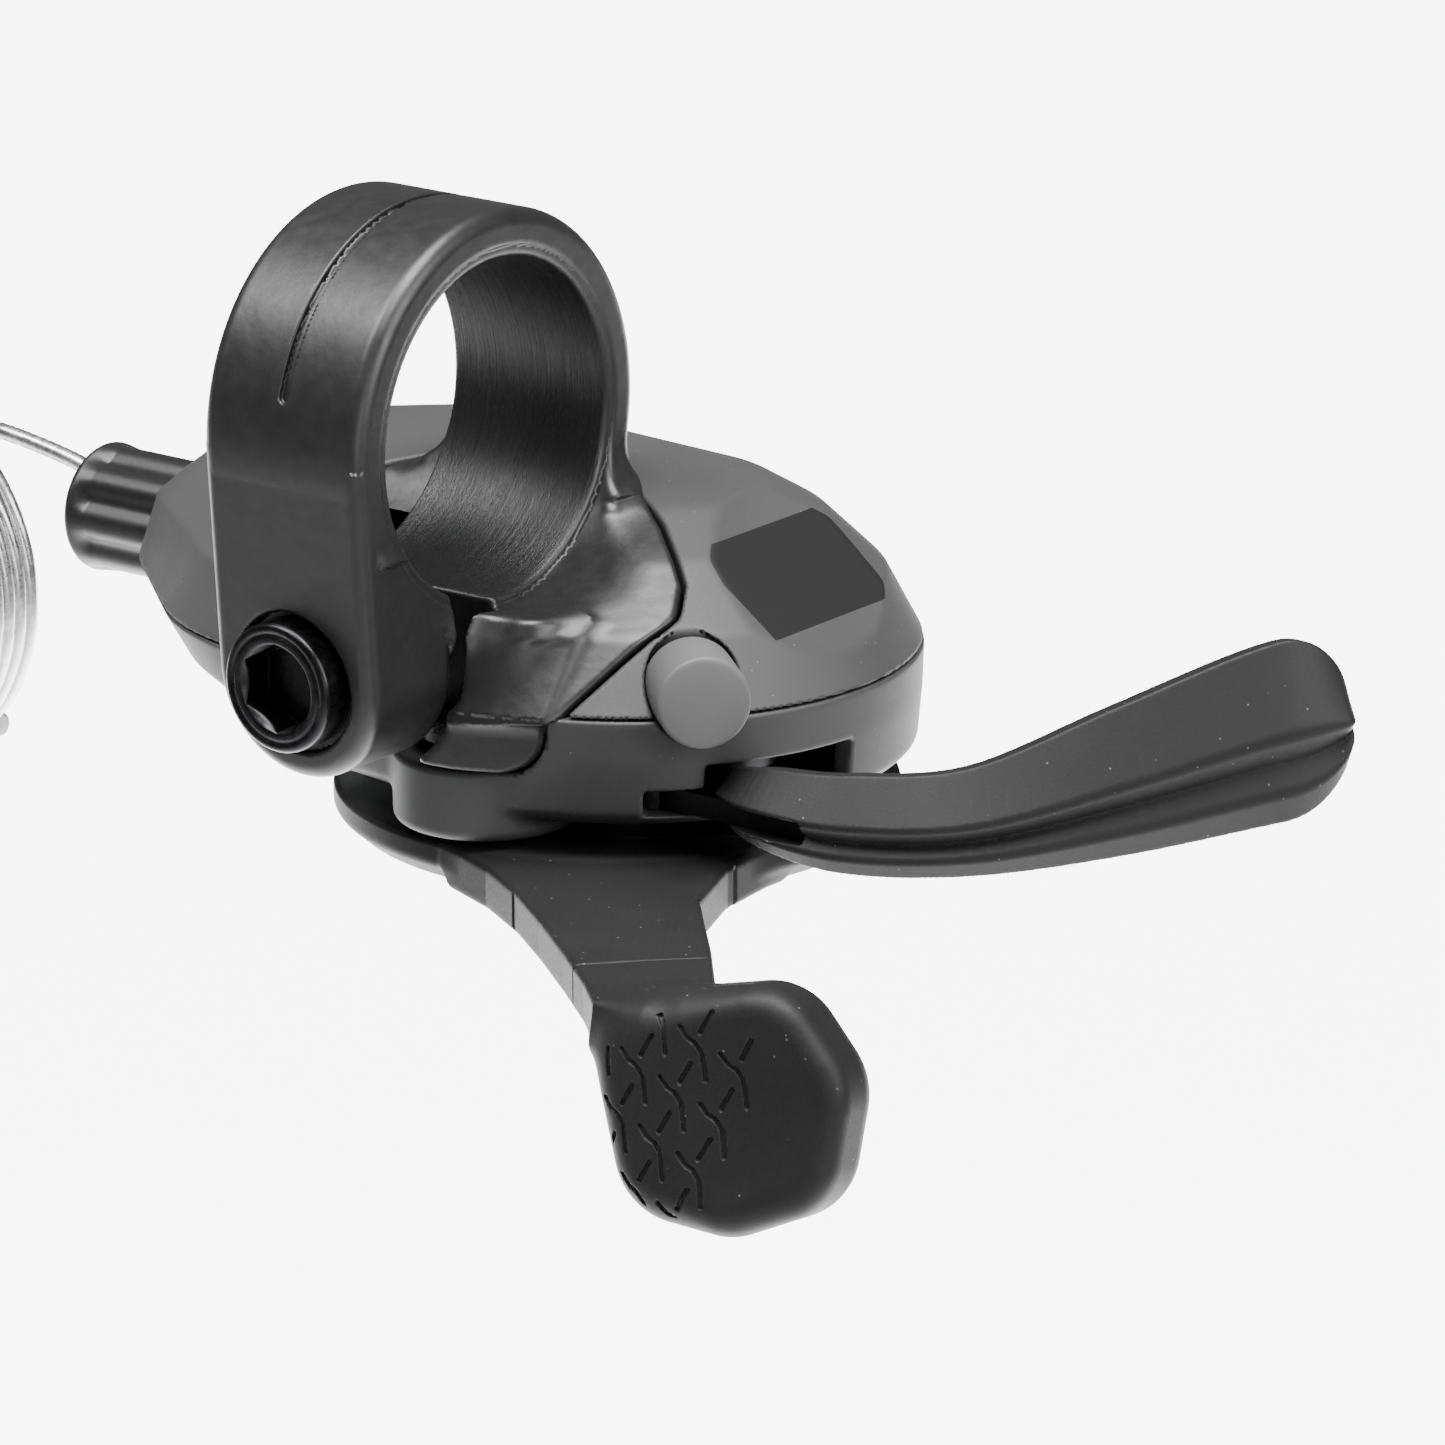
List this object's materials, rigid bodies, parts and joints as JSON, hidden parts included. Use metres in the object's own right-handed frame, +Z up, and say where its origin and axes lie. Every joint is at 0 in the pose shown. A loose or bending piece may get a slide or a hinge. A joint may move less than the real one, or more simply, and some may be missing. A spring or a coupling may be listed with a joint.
{
  "type": "trigger shifter",
  "caption": "Handlebar trigger shifter with a hinge-slit clamp bracket, round two-part housing, thumb and finger levers, barrel adjuster and inner wire.",
  "frame": {"origin": "centre of the handlebar clamp bore, at mid width", "axes": "+X along the bar, outboard towards the lever tips; +Y forward, away from the rider; +Z up, parallel to the main lever axle"},
  "size_m": [0.1371, 0.0589, 0.0556],
  "materials": {
    "bracket_paint": "gloss black enamel on cast aluminium",
    "black_bolt": "black oxide steel",
    "cover_plastic": "fine-grained dark grey",
    "plug_plastic": "smooth mid grey",
    "bright_screw": "zinc plated",
    "plate_steel": "stamped and tumbled",
    "pin_steel": "ground",
    "washer_plastic": "natural acetal",
    "pulley_plastic": "natural acetal",
    "spring_steel": "drawn spring wire",
    "lever_plastic": "speckled matte black",
    "adjuster_plastic": "satin black",
    "insert_brass": "turned",
    "wire_steel": "bright stranded wire",
    "nipple_zinc": "die cast zinc",
    "tie_plastic": "black nylon",
    "cap_alloy": "crimped alloy"
  },
  "bodies": {
    "root": {"clamp_bracket": "bracket_paint", "clamp_bolt": "black_bolt", "bracket_screw": "black_bolt", "top_cover": "cover_plastic", "bottom_cover": "cover_plastic", "cover_screws": "bright_screw", "base_plate": "plate_steel", "main_axle": "pin_steel", "axle_nut": "bright_screw", "lever_washer": "washer_plastic", "spring_plate": "plate_steel", "pulley_spring": "spring_steel", "thumb_lever_spring": "spring_steel", "release_pin": "pin_steel", "release_spring": "spring_steel", "holding_pawl_pin": "pin_steel", "holding_pawl_spring": "spring_steel", "adjuster_insert": "insert_brass", "adjuster_spring": "spring_steel", "cable_lead": "wire_steel", "inner_cable": "wire_steel", "cable_coil": "wire_steel", "coil_tie": "tie_plastic", "cable_end_cap": "cap_alloy"},
    "thumb_lever": {"thumb_lever_arm": "lever_plastic", "thumb_lever_pad": "lever_plastic", "drive_plate": "plate_steel", "drive_pawl_pin": "pin_steel"},
    "drive_pawl": {"drive_pawl": "plate_steel"},
    "pulley": {"cable_pulley": "pulley_plastic", "ratchet_wheel": "plate_steel", "cable_wrap": "wire_steel", "cable_nipple": "nipple_zinc"},
    "release_lever": {"release_lever_plate": "plate_steel", "release_lever_paddle": "lever_plastic"},
    "holding_pawl": {"holding_pawl": "plate_steel"},
    "barrel_adjuster": {"barrel_adjuster": "adjuster_plastic"},
    "port_plug": {"cable_port_plug": "plug_plastic"}
  },
  "joints": [
    {"name": "thumb_lever_swing", "type": "hinge", "parent": "root", "child": "thumb_lever", "pos_m": [0.0045, 0.0145, -0.026], "axis": [0, 0, 1], "range_deg": [0, 46], "stiffness_Nm_per_rad": 0.05, "springref_deg": -8.59, "deforming": ["thumb_lever_spring"]},
    {"name": "drive_pawl_lift", "type": "hinge", "parent": "thumb_lever", "child": "drive_pawl", "pos_m": [-0.00702, 0.02115, -0.0215], "axis": [0, 0, 1], "range_deg": [-8, 0], "stiffness_Nm_per_rad": 0.002, "springref_deg": 2.86},
    {"name": "pulley_turn", "type": "hinge", "parent": "root", "child": "pulley", "pos_m": [0.0045, 0.0145, -0.0165], "axis": [0, 0, 1], "range_deg": [0, 46], "deforming": ["pulley_spring"]},
    {"name": "release_lever_swing", "type": "hinge", "parent": "root", "child": "release_lever", "pos_m": [0.0155, 0.004, -0.0225], "axis": [0, 0, 1], "range_deg": [-10, 0], "stiffness_Nm_per_rad": 0.02, "springref_deg": 8.59, "deforming": ["release_spring"]},
    {"name": "holding_pawl_lift", "type": "hinge", "parent": "root", "child": "holding_pawl", "pos_m": [0.0184, 0.0096, -0.0215], "axis": [0, 0, 1], "range_deg": [-13, 0], "deforming": ["holding_pawl_spring"]},
    {"name": "adjuster_turn", "type": "hinge", "parent": "root", "child": "barrel_adjuster", "pos_m": [-0.0365, 0.015, -0.0165], "axis": [-1, 0, 0], "continuous": true},
    {"name": "port_plug_pull", "type": "slide", "parent": "root", "child": "port_plug", "axis": [0.7547, -0.6561, 0], "range_m": [0, 0.006]}
  ],
  "couplings": [
    {"joint": "pulley_turn", "follows": "thumb_lever_swing", "ratio": 1},
    {"joint": "holding_pawl_lift", "follows": "release_lever_swing", "ratio": 1.3}
  ]
}
